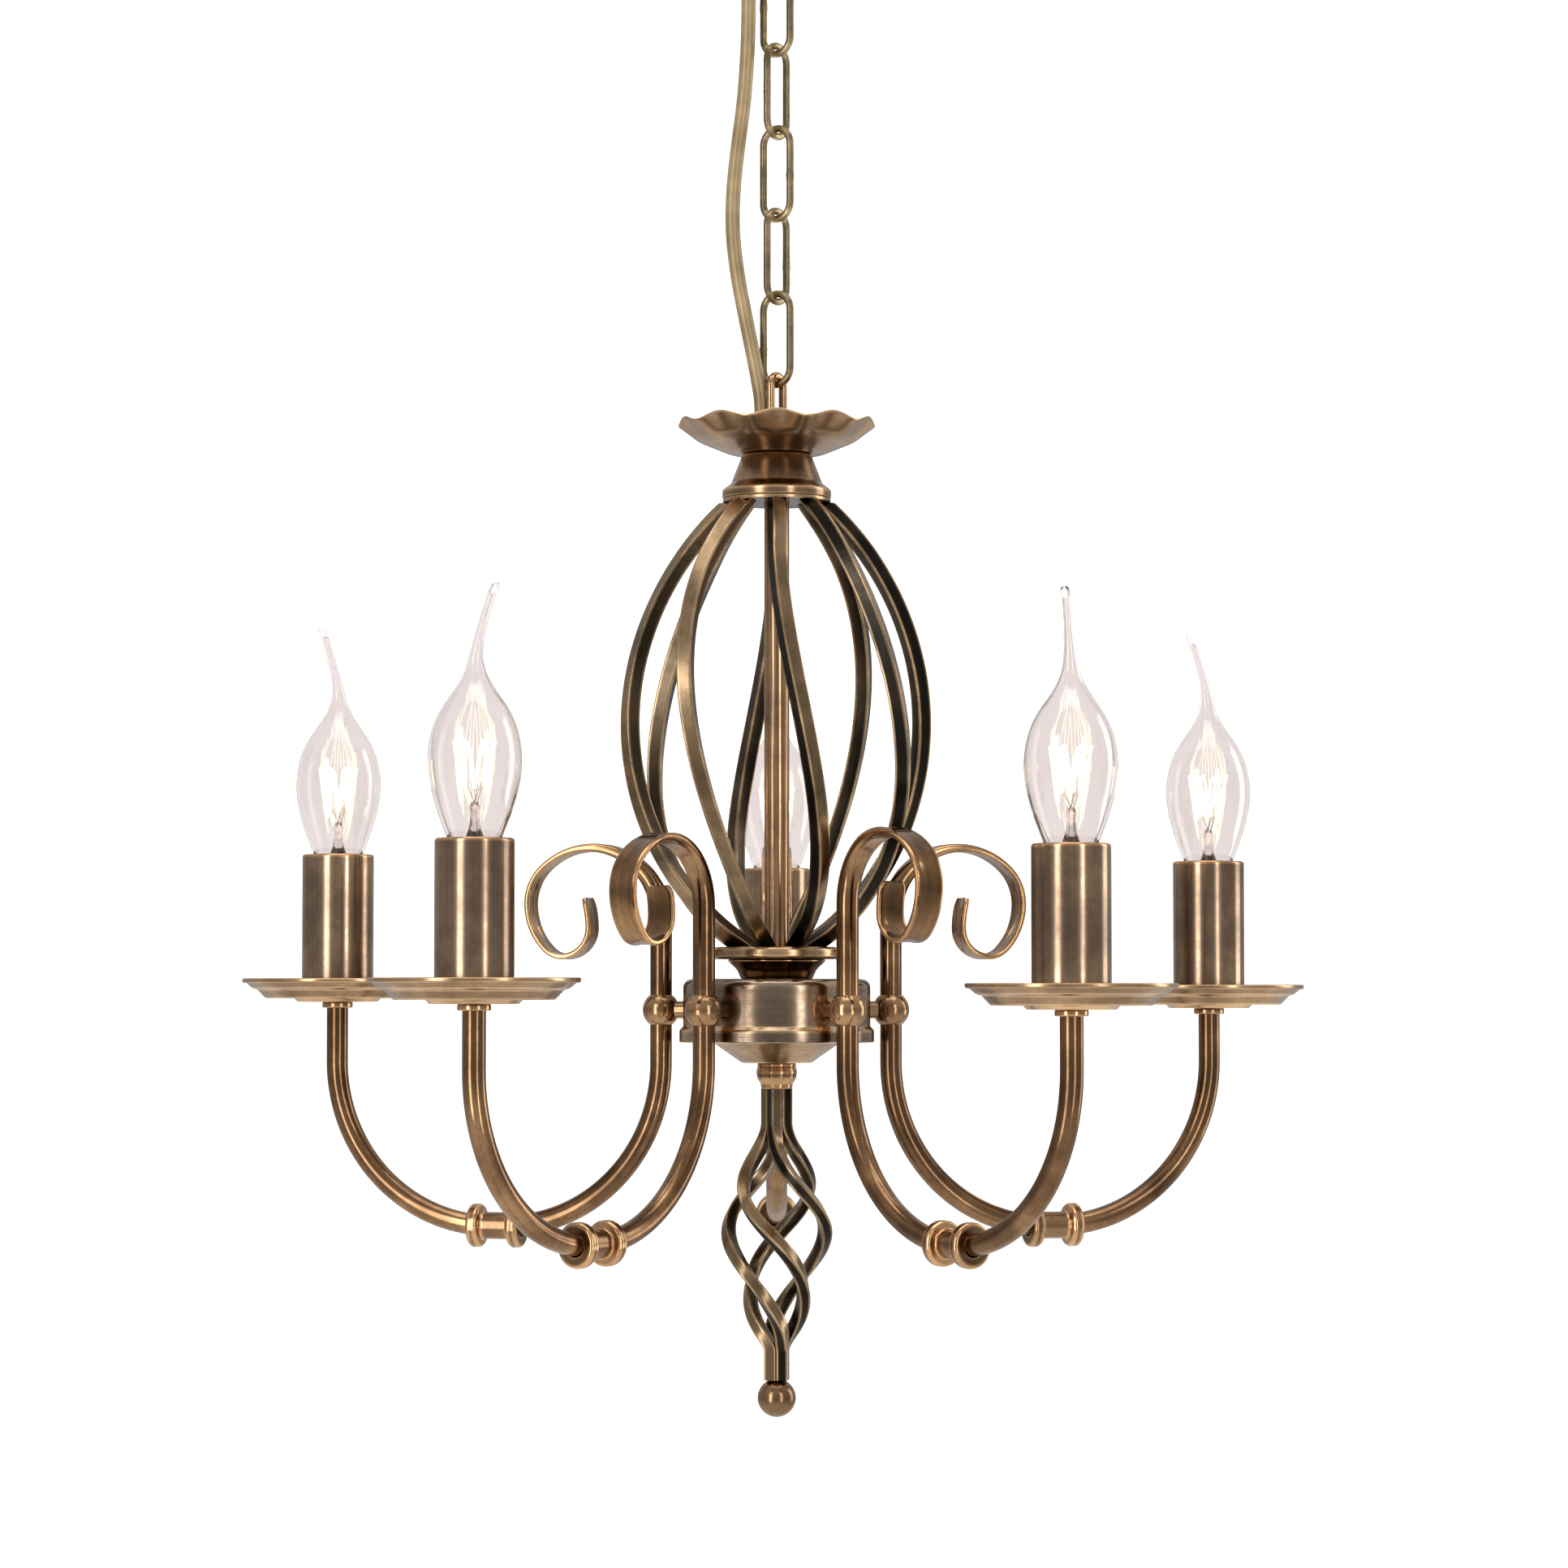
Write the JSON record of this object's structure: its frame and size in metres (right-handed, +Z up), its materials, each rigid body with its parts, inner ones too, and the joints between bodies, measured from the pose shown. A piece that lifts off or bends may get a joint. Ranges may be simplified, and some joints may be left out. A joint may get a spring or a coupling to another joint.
{
  "type": "chandelier",
  "caption": "Brass candle chandelier on a load chain: twisted bar cage over a drum hub, U-bent arms with scrolls, drip pans, metal candle sleeves and clear lamps.",
  "frame": {"origin": "on the ceiling, at the centre of the mounting strap", "axes": "+Z up into the ceiling; X along the strap's slots; the front, from which the first and fifth arms are nearest, faces -Y"},
  "size_m": [0.4471, 0.4292, 0.6633],
  "materials": {
    "antique_brass": "antiqued cast and turned brass, lacquered, worn bright on the edges",
    "dark_brass": "dark patinated drawn square brass bar with golden edges",
    "brushed_brass": "brushed and lacquered antique brass tube and sheet",
    "steel": "zinc-plated steel",
    "clear_glass": "clear blown glass",
    "flex_sheath": "semi-gloss gold-tan plastic sheath",
    "insulation": "off-white moulded plastic"
  },
  "bodies": {
    "ceiling": {"ceiling_strap": "steel", "ceiling_hook": "antique_brass", "hook_nut": "steel", "canopy": "antique_brass", "canopy_screws": "antique_brass", "terminal_block": "insulation"},
    "top_link": {"chain_link_1": "antique_brass"},
    "chain": {"chain_link_2": "antique_brass", "chain_link_3": "antique_brass", "chain_link_4": "antique_brass", "chain_link_5": "antique_brass", "chain_link_6": "antique_brass", "flex_cable": "flex_sheath"},
    "pendant": {"top_loop": "antique_brass", "top_dish": "brushed_brass", "top_bell": "brushed_brass", "flex_bush": "insulation", "cage_top_plate": "dark_brass", "stem_tube": "brushed_brass", "stem_nuts": "steel", "cage_bars": "dark_brass", "cage_foot": "dark_brass", "hub_cup": "antique_brass", "hub_body": "brushed_brass", "hub_cover": "brushed_brass", "hub_connector": "insulation", "tulip_collar": "antique_brass", "basket_bars": "dark_brass", "ball_finial": "antique_brass", "arm_balls": "antique_brass", "arm_nuts": "steel", "arm_tube_1": "brushed_brass", "arm_tube_2": "brushed_brass", "arm_tube_3": "brushed_brass", "arm_tube_4": "brushed_brass", "arm_tube_5": "brushed_brass", "arm_knuckles": "antique_brass", "inner_wires": "insulation", "pan_collars": "antique_brass", "drip_pan_1": "brushed_brass", "drip_pan_2": "brushed_brass", "drip_pan_3": "brushed_brass", "drip_pan_4": "brushed_brass", "drip_pan_5": "brushed_brass", "lampholders": "insulation"},
    "sleeve_1": {"candle_sleeve_1": "brushed_brass"},
    "sleeve_2": {"candle_sleeve_2": "brushed_brass"},
    "sleeve_3": {"candle_sleeve_3": "brushed_brass"},
    "sleeve_4": {"candle_sleeve_4": "brushed_brass"},
    "sleeve_5": {"candle_sleeve_5": "brushed_brass"},
    "lamp_1": {"lamp_cap_1": "antique_brass", "lamp_glass_1": "clear_glass"},
    "lamp_2": {"lamp_cap_2": "antique_brass", "lamp_glass_2": "clear_glass"},
    "lamp_3": {"lamp_cap_3": "antique_brass", "lamp_glass_3": "clear_glass"},
    "lamp_4": {"lamp_cap_4": "antique_brass", "lamp_glass_4": "clear_glass"},
    "lamp_5": {"lamp_cap_5": "antique_brass", "lamp_glass_5": "clear_glass"}
  },
  "joints": [
    {"name": "hook_swing", "type": "hinge", "parent": "ceiling", "child": "top_link", "pos_m": [0, 0, -0.0336], "axis": [0.809, -0.5878, 0], "range_deg": [-8, 8], "deforming": ["flex_cable"]},
    {"name": "link_swing", "type": "hinge", "parent": "top_link", "child": "chain", "pos_m": [0, 0, -0.0679], "axis": [0.5878, 0.809, 0], "range_deg": [-8, 8], "deforming": ["flex_cable"]},
    {"name": "loop_swing", "type": "hinge", "parent": "chain", "child": "pendant", "pos_m": [0, 0, -0.2394], "axis": [0.809, -0.5878, 0], "range_deg": [-8, 8], "deforming": ["flex_cable"]},
    {"name": "sleeve_1_lift", "type": "slide", "parent": "pendant", "child": "sleeve_1", "axis": [0, 0, 1], "range_m": [0, 0.006]},
    {"name": "sleeve_2_lift", "type": "slide", "parent": "pendant", "child": "sleeve_2", "axis": [0, 0, 1], "range_m": [0, 0.006]},
    {"name": "sleeve_3_lift", "type": "slide", "parent": "pendant", "child": "sleeve_3", "axis": [0, 0, 1], "range_m": [0, 0.006]},
    {"name": "sleeve_4_lift", "type": "slide", "parent": "pendant", "child": "sleeve_4", "axis": [0, 0, 1], "range_m": [0, 0.006]},
    {"name": "sleeve_5_lift", "type": "slide", "parent": "pendant", "child": "sleeve_5", "axis": [0, 0, 1], "range_m": [0, 0.006]},
    {"name": "lamp_1_lift", "type": "slide", "parent": "pendant", "child": "lamp_1", "axis": [0, 0, 1], "range_m": [0, 0.03]},
    {"name": "lamp_2_lift", "type": "slide", "parent": "pendant", "child": "lamp_2", "axis": [0, 0, 1], "range_m": [0, 0.03]},
    {"name": "lamp_3_lift", "type": "slide", "parent": "pendant", "child": "lamp_3", "axis": [0, 0, 1], "range_m": [0, 0.03]},
    {"name": "lamp_4_lift", "type": "slide", "parent": "pendant", "child": "lamp_4", "axis": [0, 0, 1], "range_m": [0, 0.03]},
    {"name": "lamp_5_lift", "type": "slide", "parent": "pendant", "child": "lamp_5", "axis": [0, 0, 1], "range_m": [0, 0.03]}
  ]
}
